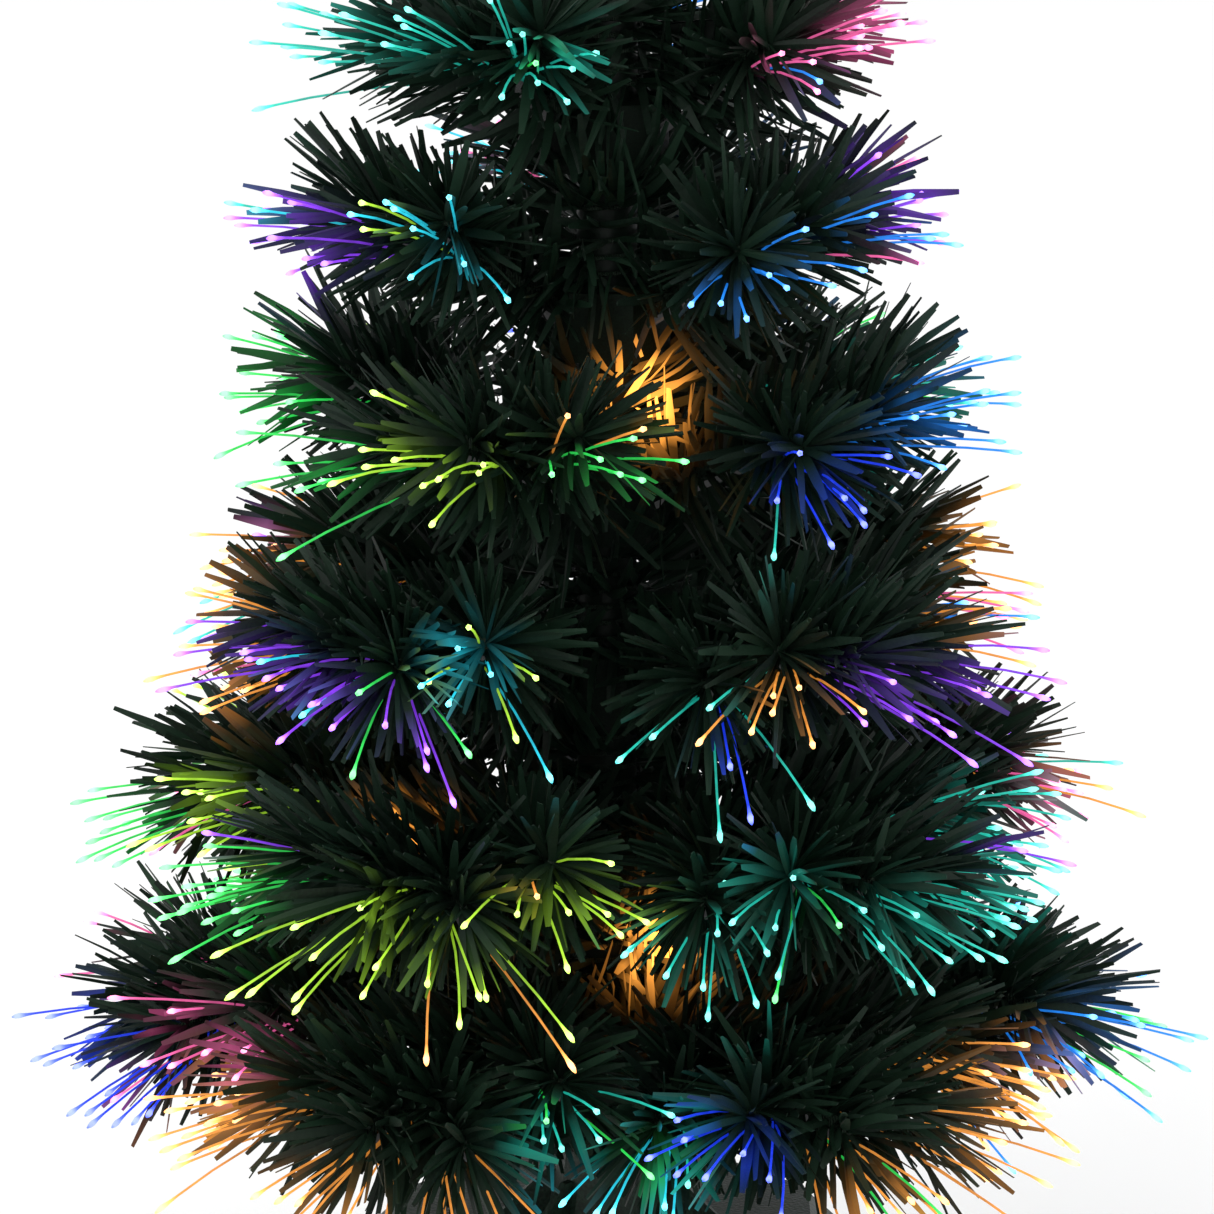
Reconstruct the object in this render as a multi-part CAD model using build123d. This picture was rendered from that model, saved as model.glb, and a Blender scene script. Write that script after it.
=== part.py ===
from build123d import *

import math
import os

import numpy as np

# A tabletop fibre optic tree: a lamp housing with a colour wheel, and a pole of needle branches
# that carry the fibres. Sizes are in millimetres, +Z is up, and the origin is on the surface
# under the middle of the base.

# Gaps shared by all pieces
overrun = 1.0
soft_gap = 0.3
press_gap = 0.03
running_gap = 0.05
slip_gap = 0.2

# Lamp housing, an octagon with cut corners
base_sides = 8
base_radius = 80.0
base_corner = 7.0
base_wall = 2.5
rim_z = 3.0
skirt_height = 6.0
skirt_step = 1.6
plinth_height = 43.0
waist_bevel = 3.0
body_height = 32.0
body_lean_angle = 4.0
shoulder_height = 11.0
bevel_angle = 45.0
vent_columns = 3
vent_pitch = 11.0
vent_width = 3.4
vent_height = 20.0
vent_middle_z = 66.0
vent_depth = 14.0
ledge_width = 1.2

# Collar and guide that hold the pole
collar_radius = 19.0
collar_corner = 4.0
collar_height = 26.0
collar_lean_angle = 10.0
rib_thickness = 2.4
rib_reach = 36.0
rib_height = 17.0
guide_wall = 2.3
stop_lip_thickness = 2.0
ferrule_below_lip = 1.5

# Recessed panel at the back of the plinth
panel_width = 52.0
panel_height = 28.0
panel_middle_z = 26.0
panel_recess = 0.8

# Bottom plate with its clips, and feet
plate_thickness = 3.0
clip_count = 4
clip_width = 14.0
clip_thickness = 1.8
clip_height = 11.0
clip_catch = 1.0
clip_catch_height = 3.0
foot_radius = 7.0
foot_sides = 8
foot_lean_angle = 14.0
foot_height = 4.0
foot_inset = 18.0
foot_count = 4
grille_slots = 5
grille_pitch = 8.0
grille_slot_width = 3.4
grille_slot_length = 40.0

# Lamp, its socket and bracket
bracket_sheet = 1.2
bracket_width = 17.0
bracket_rise = 7.0
bracket_half_span = 30.0
bracket_flange = 11.0
socket_length = 18.0
socket_width = 13.0
socket_height = 10.0
socket_edge = 1.5
lamp_pin_width = 0.8
lamp_pin_length = 7.0
lamp_pin_spacing = 4.0
lamp_pin_hole = 1.4
lamp_base_radius = 6.0
lamp_base_height = 6.0
reflector_facets = 12
reflector_rim_radius = 17.5
reflector_floor = 2.6
reflector_band_heights = (9.0, 12.0)
reflector_band_angles = (16.0, 34.0)
capsule_radius = 3.2
capsule_sides = 8
capsule_length = 15.0

# Colour wheel and its motor
wheel_wall_gap = 2.5
wheel_sides = 24
wheel_rim_width = 2.5
wheel_spoke_width = 2.0
wheel_thickness = 1.0
wheel_hub_radius = 9.0
wheel_hub_sides = 12
wheel_boss_radius = 5.0
wheel_boss_height = 5.0
wheel_above_lamp = 4.0
gel_thickness = 0.4
gel_edge_gap = 0.5
gel_chords = 3
gel_names = ("green", "teal", "blue", "violet", "pink", "amber")
ferrule_above_gel = 3.1
motor_above_hub = 1.0
motor_radius = 16.8
motor_guide_gap = 1.6
motor_height = 14.0
motor_ear_half_span = 25.0
motor_ear_width = 8.0
motor_ear_thickness = 1.2
motor_post_half_span = 21.0
motor_post_width = 7.0
motor_shaft_radius = 1.5
motor_shaft_flat = 0.4
motor_shaft_in_can = 7.0

# Power inlet
inlet_x = -16.0
inlet_body_width = 9.0
inlet_body_length = 13.0
inlet_flange_width = 12.0
inlet_flange_thickness = 1.5
inlet_flange_bevel = 0.8
inlet_bore_radius = 2.85
inlet_bore_depth = 9.5
inlet_pin_radius = 1.0

# Rocker switch
switch_x = 12.0
switch_length = 21.0
switch_height = 15.0
bezel_thickness = 2.0
bezel_rim = 2.0
bezel_bevel = 1.0
switch_body_margin = 1.0
switch_body_depth = 13.0
switch_pocket_depth = 8.0
rocker_end_gap = 0.9
rocker_side_gap = 0.35
rocker_rise = 1.6
rocker_crown_angle = 9.0
rocker_tilt_angle = 7.0
rocker_pivot_depth = 3.0
rocker_thickness = 1.8
rocker_keel = 1.4
trunnion_radius = 1.0
trunnion_length = 0.8

# Pole, its collars, and the main bundle in it
pole_radius = 9.0
pole_wall = 1.0
ferrule_wall = 1.9
ferrule_length = 20.0
bundle_sides = 12
bundle_top_radius = 3.0
bundle_below_plug = 9.0
tier_collar_radius = 16.5
tier_collar_above = 8.0
tier_collar_below = 13.0
socket_web = 1.5
collar_web = 1.0

# Tiers of branches
first_tier_z = 158.0
tier_rise = 56.0
tier_counts = (6, 5, 4, 4, 3, 3)
longest_branch_length = 128.0
shortest_branch_length = 55.0
lowest_pitch_angle = 8.0
highest_pitch_angle = 38.0
tier_turn_angle = 21.0
fork_shares = ((0.40, 0.72), (0.40, 0.72), (0.40, 0.72), (0.52,), (0.52,), (0.52,))
fork_droop_angle = 5.0
twig_yaw_angle = 46.0
twig_skew_angle = 6.0
twig_least_length = 20.0
twig_share = 0.55
top_stem_length = 58.0
top_plug_length = 12.0
top_plug_flange = 2.0
plug_sides = 12

# Needle garland round the pole, in one sleeve for each bare stretch
garland_sides = 6
garland_wall = 0.8
garland_end_gap = 1.0
garland_needle_length = 26.0
garland_needle_count = 5
garland_rise_angle = 12.0

# Stems, needles and fibres
stem_radius = 2.2
stem_sides = 6
twig_radius = 1.7
twig_sides = 4
cord_radius = 1.2
cord_sides = 4
needle_length = 33.0
needle_width = 3.0
needle_thickness = 0.7
needle_tilt_angle = 56.0
needle_spread_angle = 137.5
needle_count = 6
needle_try_count = 200
first_needle_share = 0.22
next_needle_share = 0.618034
parallel_share = 1e-6
fibre_radius = 0.6
fibre_sides = 3
fibre_length = 48.0
tip_fan_angle = 12.0
twig_fan_angle = 5.0
fibre_droop_angle = 7.0

# Levels, from the surface upwards
plate_bottom_z = foot_height
plate_top_z = plate_bottom_z + plate_thickness
bridge_z = plate_top_z + bracket_rise + bracket_sheet
socket_top_z = bridge_z + socket_height
neck_z = socket_top_z + lamp_base_height
lamp_front_z = neck_z + sum(reflector_band_heights)
wheel_z = lamp_front_z + wheel_above_lamp
gel_z = wheel_z + wheel_thickness
hub_top_z = gel_z + wheel_boss_height
motor_z = hub_top_z + motor_above_hub
motor_top_z = motor_z + motor_height
ferrule_z = gel_z + gel_thickness + ferrule_above_gel
lip_z = ferrule_z + ferrule_below_lip
pole_z = lip_z + stop_lip_thickness
plinth_top_z = rim_z + plinth_height
body_z = plinth_top_z + waist_bevel
base_top_z = body_z + body_height + shoulder_height
collar_top_z = base_top_z + collar_height
last_tier = len(tier_counts) - 1
pole_top_z = first_tier_z + tier_rise * (last_tier + 1)
bundle_top_z = pole_top_z - top_plug_length - bundle_below_plug

# Radii and places that follow from the pieces around them
pole_bore_radius = pole_radius + soft_gap
pole_inner_radius = pole_radius - pole_wall
guide_radius = pole_bore_radius + guide_wall
wheel_offset_x = guide_radius + motor_guide_gap + motor_radius
wheel_radius = base_radius - base_wall - waist_bevel - wheel_wall_gap - wheel_offset_x
foot_circle_radius = base_radius - foot_inset
ferrule_radius = pole_inner_radius - press_gap
bundle_radius = ferrule_radius - ferrule_wall - press_gap
cord_drop = stem_radius + cord_radius + collar_web
panel_face_y = base_radius - panel_recess
inner_wall_y = base_radius - base_wall
ledge_radius = inner_wall_y + ledge_width
switch_body_length = switch_length - 2 * switch_body_margin
switch_body_height = switch_height - 2 * switch_body_margin
rocker_window_length = switch_length - 2 * bezel_rim
rocker_window_height = switch_height - 2 * bezel_rim
rocker_pivot_y = panel_face_y + bezel_thickness - rocker_pivot_depth

STANDING = (Align.CENTER, Align.CENTER, Align.MIN)
HANGING = (Align.CENTER, Align.CENTER, Align.MAX)
OUTWARD = (Align.CENTER, Align.MIN, Align.CENTER)
INWARD = (Align.CENTER, Align.MAX, Align.CENTER)


def post(x, y, low, high, radius):
    """A round post, pin or hole between two levels."""
    return Pos(x, y, low) * Cylinder(radius, high - low, align=STANDING)


def lying(x, y, z, radius, length, direction):
    """A round bar or hole from a point along a direction."""
    return Plane(origin=(x, y, z), z_dir=direction) * Cylinder(radius, length, align=STANDING)


def around(radius, count, first=0.0):
    """Places evenly spaced on a circle, with the angle of each."""
    for step in range(count):
        angle = first + 360.0 / count * step
        turn = math.radians(angle)
        yield angle, radius * math.cos(turn), radius * math.sin(turn)


def octagon(radius, corner):
    """The outline of the base or its collar: flat sides at a radius, with cut corners."""
    outline = RegularPolygon(radius, base_sides, major_radius=False, rotation=180.0 / base_sides)
    return chamfer(outline.vertices(), corner)


# Lamp housing


def raised(outline, low, height, lean=0.0):
    """An outline raised from a level, drawn in by a lean in degrees."""
    return Pos(0, 0, low) * extrude(outline, height, taper=lean)


def housing_mass():
    """The outer form of the housing: plinth, bevelled waist, leaning body and shoulder."""
    plinth = raised(octagon(base_radius, base_corner), rim_z, plinth_height)
    waist = raised(octagon(base_radius, base_corner), plinth_top_z, waist_bevel, bevel_angle)
    body = extrude(waist.faces().sort_by(Axis.Z)[-1], body_height, taper=body_lean_angle)
    shoulder = extrude(body.faces().sort_by(Axis.Z)[-1], shoulder_height, taper=bevel_angle)
    return plinth.fuse(waist, body, shoulder)


def skirt():
    """The stepped band round the foot of the plinth, with a bevelled top."""
    outline = octagon(base_radius + skirt_step, base_corner)
    band = raised(outline, rim_z, skirt_height - skirt_step)
    return band + raised(outline, rim_z + skirt_height - skirt_step, skirt_step, bevel_angle)


def housing_vents():
    """Upright slots through the leaning sides."""
    near = base_radius - vent_depth
    slot = Box(vent_depth, vent_width, vent_height, align=(Align.MIN, Align.CENTER, Align.CENTER))
    slots = []
    for angle, x, y in around(near, base_sides):
        for column in range(vent_columns):
            aside = (column - (vent_columns - 1) / 2) * vent_pitch
            slots.append(Rot(0, 0, angle) * Pos(near, aside, vent_middle_z) * slot)
    return slots


def collar_ribs():
    """Triangular ribs that brace the collar on the top of the housing."""
    low = base_top_z - base_wall / 2
    high = base_top_z + rib_height
    root = pole_bore_radius + guide_wall / 2
    outline = Polygon((root, low), (rib_reach, low), (rib_reach, base_top_z),
                      (collar_radius, high), (root, high), align=None)
    rib = extrude(Plane.XZ * outline, rib_thickness / 2, both=True)
    return [Rot(0, 0, angle) * rib for angle, x, y in around(rib_reach, base_sides)]


def motor_posts():
    """Square posts under the roof, for the ears of the motor."""
    height = base_top_z - base_wall / 2 - motor_top_z
    pillar = Box(motor_post_width, motor_post_width, height, align=STANDING)
    return [Pos(wheel_offset_x, side * motor_post_half_span, motor_top_z) * pillar
            for side in (-1, 1)]


def clip_catches():
    """Pockets in the inside of the wall, for the clips of the bottom plate."""
    depth = clip_catch + slip_gap
    low = plate_top_z + clip_height - clip_catch_height
    pocket = Pos(inner_wall_y - overrun, 0, low) * Box(
        overrun + depth, clip_width + 2 * slip_gap, clip_catch_height + slip_gap,
        align=(Align.MIN, Align.CENTER, Align.MIN))
    return [Rot(0, 0, angle) * pocket
            for angle, x, y in around(inner_wall_y, clip_count, 180.0 / clip_count)]


def base_housing():
    """The moulded upper shell, with the collar, pole guide, motor posts, panel and vents."""
    mass = housing_mass()
    shell = offset(mass, amount=-base_wall, openings=mass.faces().sort_by(Axis.Z)[0])
    hollow = raised(octagon(inner_wall_y, base_corner), rim_z - overrun, skirt_height + 2 * overrun)
    collar = raised(octagon(collar_radius, collar_corner), base_top_z, collar_height, collar_lean_angle)
    guide = post(0, 0, lip_z, base_top_z, guide_radius)
    shell = shell.fuse(skirt().cut(hollow), collar, *collar_ribs(), guide, *motor_posts())
    return shell.cut(
        raised(octagon(ledge_radius, base_corner), rim_z - overrun, plate_top_z - rim_z + overrun),
        post(0, 0, pole_z, collar_top_z + overrun, pole_bore_radius),
        post(0, 0, lip_z - overrun, pole_z + overrun, ferrule_radius + soft_gap),
        Pos(0, base_radius + overrun, panel_middle_z) * Box(
            panel_width, panel_recess + overrun, panel_height, align=INWARD),
        Pos(inlet_x, base_radius, panel_middle_z) * Box(
            inlet_body_width + 2 * press_gap, base_wall + overrun,
            inlet_body_width + 2 * press_gap, align=INWARD),
        Pos(switch_x, base_radius, panel_middle_z) * Box(
            switch_body_length + 2 * press_gap, base_wall + overrun,
            switch_body_height + 2 * press_gap, align=INWARD),
        *clip_catches(),
        *housing_vents(),
    )


# Bottom plate and feet


def grille():
    """Parallel air slots under the lamp."""
    slot = Box(grille_slot_length, grille_slot_width, plate_thickness + 2 * overrun, align=STANDING)
    return [Pos(0, (number - (grille_slots - 1) / 2) * grille_pitch, plate_bottom_z - overrun) * slot
            for number in range(grille_slots)]


def clip():
    """An upright tongue with an outward catch, on the side of the plate towards +X."""
    outer = inner_wall_y - slip_gap
    inner = outer - clip_thickness
    top = plate_top_z + clip_height
    catch = top - clip_catch_height
    outline = Polygon((inner, plate_top_z), (outer, plate_top_z), (outer, catch),
                      (outer + clip_catch, catch), (outer, top), (inner, top), align=None)
    return extrude(Plane.XZ * outline, clip_width / 2, both=True)


def bottom_plate():
    """The floor of the base, with its grille and the clips that hold it in the housing."""
    plate = raised(octagon(ledge_radius - slip_gap, base_corner), plate_bottom_z, plate_thickness)
    clips = [Rot(0, 0, angle) * clip()
             for angle, x, y in around(inner_wall_y, clip_count, 180.0 / clip_count)]
    return plate.fuse(*clips).cut(*grille())


def rubber_feet():
    """Tapered pads stuck to the bottom plate."""
    pad = extrude(RegularPolygon(foot_radius, foot_sides), foot_height, dir=(0, 0, -1),
                  taper=foot_lean_angle)
    return [Pos(x, y, plate_bottom_z) * pad
            for angle, x, y in around(foot_circle_radius, foot_count)]


# Lamp, socket and bracket


def lamp_bracket():
    """A bent steel strap over the grille."""
    span = bracket_half_span
    under = bridge_z - bracket_sheet
    low = plate_top_z + bracket_sheet
    half = [(span - bracket_sheet, under), (span - bracket_sheet, plate_top_z),
            (span + bracket_flange, plate_top_z), (span + bracket_flange, low), (span, low),
            (span, bridge_z)]
    outline = Polygon(*half, *[(-y, z) for y, z in reversed(half)], align=None)
    return extrude(Plane.YZ * outline, bracket_width / 2, both=True)


def lamp_socket():
    """The ceramic block with its two square pin holes."""
    block = Pos(0, 0, bridge_z) * Box(socket_length, socket_width, socket_height, align=STANDING)
    block = chamfer(block.edges().filter_by(Axis.Z), socket_edge)
    depth = lamp_pin_length + overrun
    holes = [Pos(side * lamp_pin_spacing / 2, 0, socket_top_z) * Box(
        lamp_pin_hole, lamp_pin_hole, 2 * depth) for side in (-1, 1)]
    return block.cut(*holes)


def reflector_form():
    """A faceted bowl form, drawn in band by band and then turned to face upwards."""
    face = RegularPolygon(reflector_rim_radius, reflector_facets)
    bands = []
    for height, angle in zip(reflector_band_heights, reflector_band_angles):
        bands.append(extrude(face, height, taper=angle))
        face = bands[-1].faces().sort_by(Axis.Z)[-1]
    return Pos(0, 0, lamp_front_z) * Rot(180, 0, 0) * bands[0].fuse(*bands[1:])


def halogen_lamp():
    """A small reflector lamp: base, faceted bowl, capsule and two pins."""
    form = reflector_form()
    bowl = form - Pos(0, 0, reflector_floor) * form
    base = raised(RegularPolygon(lamp_base_radius, reflector_facets), socket_top_z,
                  lamp_base_height)
    capsule = raised(RegularPolygon(capsule_radius, capsule_sides), neck_z + reflector_floor,
                     capsule_length)
    pin = Box(lamp_pin_width, lamp_pin_width, lamp_pin_length, align=HANGING)
    pins = [Pos(side * lamp_pin_spacing / 2, 0, socket_top_z) * pin for side in (-1, 1)]
    return bowl.fuse(base, capsule, *pins)


# Colour wheel and motor


def shaft_section(gap):
    """The round shaft with a flat, grown by a gap."""
    disc = Circle(motor_shaft_radius + gap)
    across = 2 * (motor_shaft_radius + gap)
    edge = motor_shaft_radius - motor_shaft_flat + gap
    return disc - Pos(edge, 0) * Rectangle(across, across, align=(Align.MIN, Align.CENTER))


def wheel_frame():
    """The spoked frame with its hub, which carries the gels."""
    rim = RegularPolygon(wheel_radius, wheel_sides)
    flat = rim - RegularPolygon(wheel_radius - wheel_rim_width, wheel_sides)
    flat += RegularPolygon(wheel_hub_radius, wheel_hub_sides)
    spoke = Rectangle(wheel_radius - wheel_rim_width / 2, wheel_spoke_width,
                      align=(Align.MIN, Align.CENTER))
    for angle, x, y in around(wheel_radius, len(gel_names)):
        flat += Rot(0, 0, angle) * spoke
    frame = Pos(wheel_offset_x, 0, wheel_z) * extrude(flat, wheel_thickness)
    boss = Pos(wheel_offset_x, 0, gel_z) * extrude(
        RegularPolygon(wheel_boss_radius, wheel_hub_sides), wheel_boss_height)
    height = hub_top_z - wheel_z + 2 * overrun
    bore = Pos(wheel_offset_x, 0, wheel_z - overrun) * extrude(shaft_section(press_gap), height)
    return frame.fuse(boss).cut(bore)


def gel_sectors():
    """One thin coloured sector for each gap between two spokes, cut with straight edges."""
    step = math.radians(360.0 / len(gel_names))
    inner = (wheel_boss_radius + gel_edge_gap) / math.cos(step / 2)
    outer = wheel_radius - gel_edge_gap
    gels = {}
    for number, name in enumerate(gel_names):
        start = step * number + gel_edge_gap / wheel_radius
        end = step * (number + 1) - gel_edge_gap / wheel_radius
        turns = [start + (end - start) * chord / gel_chords for chord in range(gel_chords + 1)]
        points = [(outer * math.cos(turn), outer * math.sin(turn)) for turn in turns]
        points += [(inner * math.cos(turn), inner * math.sin(turn)) for turn in (end, start)]
        sector = extrude(Polygon(*points, align=None), gel_thickness)
        gels["gel_" + name] = Pos(wheel_offset_x, 0, gel_z) * sector
    return gels


def motor_can():
    """The sealed geared motor, with two ears that are fixed under the posts."""
    can = post(wheel_offset_x, 0, motor_z, motor_top_z, motor_radius)
    ears = Pos(wheel_offset_x, 0, motor_top_z) * Box(
        motor_ear_width, 2 * motor_ear_half_span, motor_ear_thickness, align=HANGING)
    bore = post(wheel_offset_x, 0, motor_z - overrun, motor_z + motor_shaft_in_can + running_gap,
                motor_shaft_radius + running_gap)
    return can.fuse(ears).cut(bore)


def motor_shaft():
    """The output shaft, flat where the hub grips it and round in the motor."""
    turned = post(wheel_offset_x, 0, hub_top_z, motor_z + motor_shaft_in_can, motor_shaft_radius)
    gripped = Pos(wheel_offset_x, 0, wheel_z) * extrude(shaft_section(0), hub_top_z - wheel_z)
    return turned + gripped


# Inlet and switch


def dc_inlet():
    """The power socket through the rear panel: a square body, a round bore and a centre pin."""
    middle = Pos(inlet_x, panel_face_y, panel_middle_z)
    flange = middle * Box(inlet_flange_width, inlet_flange_thickness, inlet_flange_width,
                          align=OUTWARD)
    flange = chamfer(flange.faces().sort_by(Axis.Y)[-1].edges(), inlet_flange_bevel)
    body = middle * Box(inlet_body_width, inlet_body_length, inlet_body_width, align=INWARD)
    front = panel_face_y + inlet_flange_thickness
    bore = lying(inlet_x, front, panel_middle_z, inlet_bore_radius, inlet_bore_depth, (0, -1, 0))
    pin = lying(inlet_x, panel_face_y, panel_middle_z, inlet_pin_radius, inlet_bore_depth,
                (0, -1, 0))
    return flange.fuse(body).cut(bore).fuse(pin)


def switch_frame():
    """The switch's bezel and body, with the pocket that the rocker sits in."""
    middle = Pos(switch_x, panel_face_y, panel_middle_z)
    bezel = middle * Box(switch_length, bezel_thickness, switch_height, align=OUTWARD)
    bezel = chamfer(bezel.faces().sort_by(Axis.Y)[-1].edges(), bezel_bevel)
    body = middle * Box(switch_body_length, switch_body_depth, switch_body_height, align=INWARD)
    pocket = Pos(switch_x, panel_face_y + bezel_thickness, panel_middle_z) * Box(
        rocker_window_length, switch_pocket_depth, rocker_window_height, align=INWARD)
    half = rocker_window_height / 2 + trunnion_length
    seat = lying(switch_x, rocker_pivot_y, panel_middle_z - half, trunnion_radius + running_gap,
                 2 * half, (0, 0, 1))
    return bezel.fuse(body).cut(pocket, seat)


def switch_rocker():
    """The rocker with its shallow valley, keel and trunnions, tilted to its off side."""
    half = rocker_window_length / 2 - rocker_end_gap
    back = rocker_pivot_depth - rocker_thickness
    crown = rocker_pivot_depth + rocker_rise
    rise = half * math.tan(math.radians(rocker_crown_angle))
    right = [(0, crown), (half, crown + rise), (half, back), (rocker_keel, back),
             (rocker_keel, -trunnion_radius)]
    outline = Polygon(*right, *[(-x, y) for x, y in reversed(right[1:])], align=None)
    height = rocker_window_height - 2 * rocker_side_gap
    bar = extrude(outline, height / 2, both=True)
    trunnion = Cylinder(trunnion_radius, height + 2 * trunnion_length)
    return Pos(switch_x, rocker_pivot_y, panel_middle_z) * Rot(0, 0, -rocker_tilt_angle) * (bar + trunnion)


# Branch lines: every stem, cord of fibres and loose fibre as a start and an end


def leaning(azimuth, pitch):
    """The ahead, side and up axes of a stem at an azimuth and a pitch in degrees."""
    turn, rise = math.radians(azimuth), math.radians(pitch)
    flat = Vector(math.cos(turn), math.sin(turn), 0)
    ahead = flat * math.cos(rise) + Vector(0, 0, 1) * math.sin(rise)
    side = Vector(-math.sin(turn), math.cos(turn), 0)
    return ahead, side, ahead.cross(side)


def between(lowest, highest, tier):
    """A value that changes evenly from the lowest tier to the highest."""
    return lowest + (highest - lowest) * tier / last_tier


def tier_z(tier):
    return first_tier_z + tier_rise * tier


def bundle_surface(z):
    """The radius of the main bundle, which thins evenly from the ferrule to the top."""
    return bundle_radius + (bundle_top_radius - bundle_radius) * (z - ferrule_z) / (
        bundle_top_z - ferrule_z)


def fibre_pair(start, tip, ahead, side, up, fan):
    """Two fibres from a cord that run on past a tip, a little apart and drooping."""
    reach = (tip - start).dot(ahead) + fibre_length
    spread, droop = math.radians(fan), math.radians(fibre_droop_angle)
    lines = []
    for way in (-1, 1):
        out = ahead * reach + side * (way * reach * math.tan(spread))
        lines.append((start, start + out - up * (fibre_length * math.tan(droop))))
    return lines


class Branch:
    """The lines of one branch: a main stem that droops at each fork, twigs, cords and fibres."""

    def __init__(self, tier, number):
        azimuth = 360.0 / tier_counts[tier] * number + tier_turn_angle * tier
        pitch = between(lowest_pitch_angle, highest_pitch_angle, tier)
        length = between(longest_branch_length, shortest_branch_length, tier)
        ahead, side, up = leaning(azimuth, pitch)
        flat = side.cross(Vector(0, 0, 1))
        seat = pole_radius + socket_web + stem_radius * math.sin(math.radians(pitch))
        self.tier, self.azimuth = tier, azimuth
        self.ahead, self.side, self.up = ahead, side, up
        self.root = flat * seat + Vector(0, 0, tier_z(tier))
        self.points, self.twigs, self.fibres = [self.root], [], []
        here, passed = self.root, 0.0
        for fork, share in enumerate((*fork_shares[tier], 1.0)):
            here = here + ahead * (length * (share - passed))
            self.points.append(here)
            passed = share
            if share < 1.0:
                reach = length * (1 - share) * twig_share + twig_least_length
                self.add_twigs(here, ahead, side, up, reach, -1 if fork % 2 else 1)
                pitch -= fork_droop_angle
                ahead, side, up = leaning(azimuth, pitch)
        start = here - up * cord_drop - ahead * cord_radius
        self.fibres += fibre_pair(start, here, ahead, side, up, tip_fan_angle)
        self.cord = self.main_cord(flat)

    def add_twigs(self, fork, ahead, side, up, length, lift):
        """A twig to each side of a fork, one a little up and the other a little down."""
        turn, skew = math.radians(twig_yaw_angle), math.radians(twig_skew_angle)
        for way in (-1, 1):
            out = ahead * math.cos(turn) + side * (way * math.sin(turn))
            out = out * math.cos(skew) + up * (way * lift * math.sin(skew))
            across = up.cross(out).normalized()
            over = out.cross(across)
            tip = fork + out * length
            self.twigs.append((fork, tip, over))
            self.fibres += fibre_pair(fork - up * cord_drop, tip, out, across, over, twig_fan_angle)

    def main_cord(self, flat):
        """The cord of fibres under the main stem, from the bundle in the pole."""
        low = self.root - self.up * cord_drop
        reach = bundle_surface(low.Z) + soft_gap + cord_radius * self.ahead.Z
        inward = (flat.dot(low) - reach) / flat.dot(self.ahead)
        return [low - self.ahead * inward] + [point - self.up * cord_drop
                                              for point in self.points[1:]]

    def stem_lines(self):
        """The stems with the radius of each."""
        main = [(a, b, stem_radius) for a, b in zip(self.points, self.points[1:])]
        return main + [(a, b, twig_radius) for a, b, over in self.twigs]

    def fibre_lines(self):
        """The cords and loose fibres with the radius of each."""
        cord = [(a, b, cord_radius) for a, b in zip(self.cord, self.cord[1:])]
        return cord + [(a, b, fibre_radius) for a, b in self.fibres]


class TopTip(Branch):
    """The upright tip in the top of the pole, with one cord."""

    def __init__(self):
        self.ahead, self.side, self.up = Vector(0, 0, 1), Vector(1, 0, 0), Vector(0, -1, 0)
        self.root = Vector(0, 0, pole_top_z + top_plug_flange)
        tip = self.root + self.ahead * top_stem_length
        self.points, self.twigs = [self.root, tip], []
        overlap = Vector(0, 0, bundle_top_z - bundle_below_plug)
        self.cord = [overlap - self.up * cord_drop, tip - self.up * cord_drop]
        start = self.cord[-1] - self.ahead * cord_radius
        self.fibres = fibre_pair(start, tip, self.ahead, self.side, self.up, tip_fan_angle)


# Needles are placed where nothing else is
pole_owner = 1


class Room:
    """The space that is taken, as straight lines with a radius and an owner."""

    def __init__(self):
        self.starts, self.ends, self.radii, self.owners = [], [], [], []

    def take(self, start, end, radius, owner=0):
        self.starts.append(tuple(start))
        self.ends.append(tuple(end))
        self.radii.append(radius)
        self.owners.append(owner)

    def free(self, start, end, radius, but=None):
        """Whether a line keeps clear of all taken lines, by the closest points of each pair."""
        kept = np.array(self.owners) != but
        starts, ends = np.array(self.starts)[kept], np.array(self.ends)[kept]
        p, q = np.array(tuple(start)), np.array(tuple(end))
        u, v, w = q - p, ends - starts, p - starts
        a, b, c = u @ u, v @ u, (v * v).sum(1)
        d, e = w @ u, (w * v).sum(1)
        s = np.clip((b * e - c * d) / np.maximum(a * c - b * b, parallel_share * a * c), 0, 1)
        t = np.clip((b * s + e) / c, 0, 1)
        s = np.clip((b * t - d) / a, 0, 1)
        apart = np.linalg.norm(w + s[:, None] * u - t[:, None] * v, axis=1)
        return bool(np.all(apart > np.array(self.radii)[kept] + radius + soft_gap))


def needle_lines(branch, room):
    """The needles of one branch where there is room: root, tip and flat side of each."""
    stems = branch.stem_lines()
    total = sum((b - a).length for a, b, radius in stems)
    half = needle_width / 2
    tilt = math.radians(needle_tilt_angle)
    found = []
    for attempt in range(needle_try_count):
        step = attempt * next_needle_share % 1.0
        along = (first_needle_share + (1 - first_needle_share) * step) * total
        for a, b, radius in stems:
            if along <= (b - a).length:
                break
            along -= (b - a).length
        ahead = (b - a).normalized()
        side = ahead.cross(branch.up).normalized()
        turn = math.radians(needle_spread_angle * attempt)
        out = side * math.cos(turn) + side.cross(ahead) * math.sin(turn)
        lean = ahead * math.cos(tilt) + out * math.sin(tilt)
        root = a + ahead * along
        tip = root + lean * needle_length
        near = root + lean * (radius + half)
        clear = root + lean * (2 * radius + half + soft_gap)
        if room.free(clear, tip, half) and room.free(near, tip, half, but=id(branch)):
            room.take(near, tip, half)
            found.append((root, tip, ahead.cross(lean).normalized()))
        if len(found) == needle_count:
            break
    return found


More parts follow.
